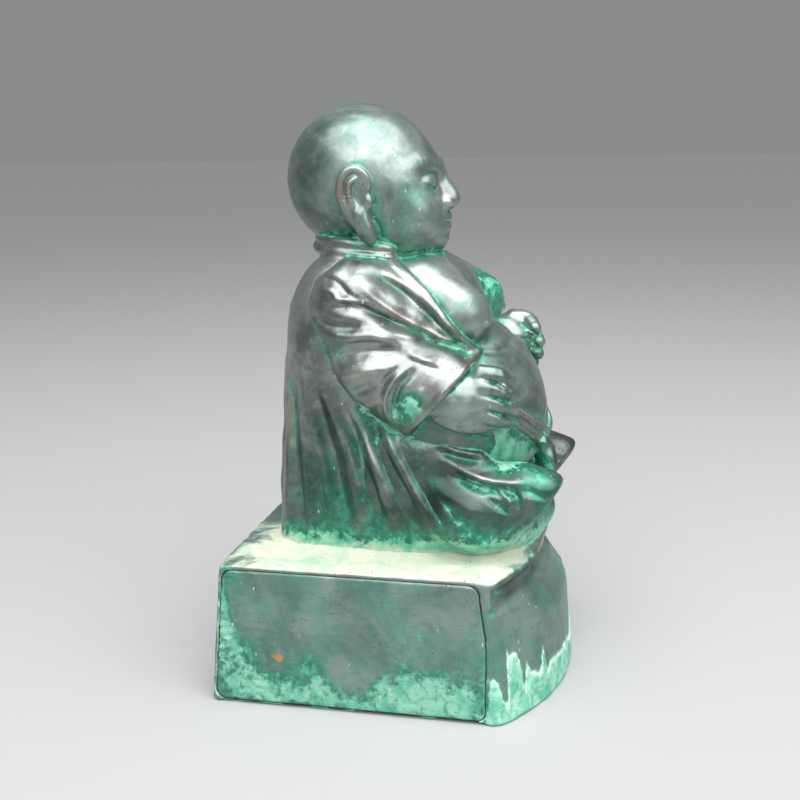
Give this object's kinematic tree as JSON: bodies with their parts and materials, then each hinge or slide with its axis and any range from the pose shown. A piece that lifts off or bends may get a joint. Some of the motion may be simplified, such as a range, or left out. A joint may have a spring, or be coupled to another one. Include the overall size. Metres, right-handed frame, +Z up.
{
  "type": "buddha statue",
  "caption": "Seated laughing-monk figure with bare round belly, open robe and crossed legs on a bow-fronted rectangular plinth, in patinated metal.",
  "frame": {"origin": "centre of the footprint's bounding box, on the surface that the statue stands on", "axes": "+Z up through the figure's head; the figure faces -Y and its right hand is at -X"},
  "size_m": [0.08, 0.0894, 0.1499],
  "materials": {
    "figure_patina": "dark slate-green patina on cast brass, semi-gloss, worn pinkish on ridges",
    "skin_patina": "smooth dark green patina on cast brass, polished on high spots",
    "plinth_patina": "green patina with pale deposits and dark pits on cast brass",
    "panel_patina": "flat sheet with mottled green patina",
    "raw_casting": "dull unpatinated brass",
    "steel": "plain zinc-plated steel",
    "felt": "dark green felt"
  },
  "bodies": {
    "root": {"felt_pad": "felt", "base_plate": "steel", "base_screw_1": "steel", "base_screw_2": "steel", "base_screw_3": "steel", "base_screw_4": "steel", "plinth_shell": "plinth_patina", "plinth_side_plate_right": "panel_patina", "plinth_side_plate_left": "panel_patina", "figure_stud_front": "steel", "stud_washer_front": "steel", "stud_nut_front": "steel", "figure_stud_rear": "steel", "stud_washer_rear": "steel", "stud_nut_rear": "steel", "trousers": "figure_patina", "torso": "skin_patina", "waist_dowel": "raw_casting", "robe": "figure_patina", "waist_sash": "figure_patina", "right_sleeve": "figure_patina", "left_sleeve": "figure_patina", "right_hand": "skin_patina", "left_hand": "skin_patina", "neck_dowel": "raw_casting", "head": "skin_patina"}
  },
  "joints": []
}
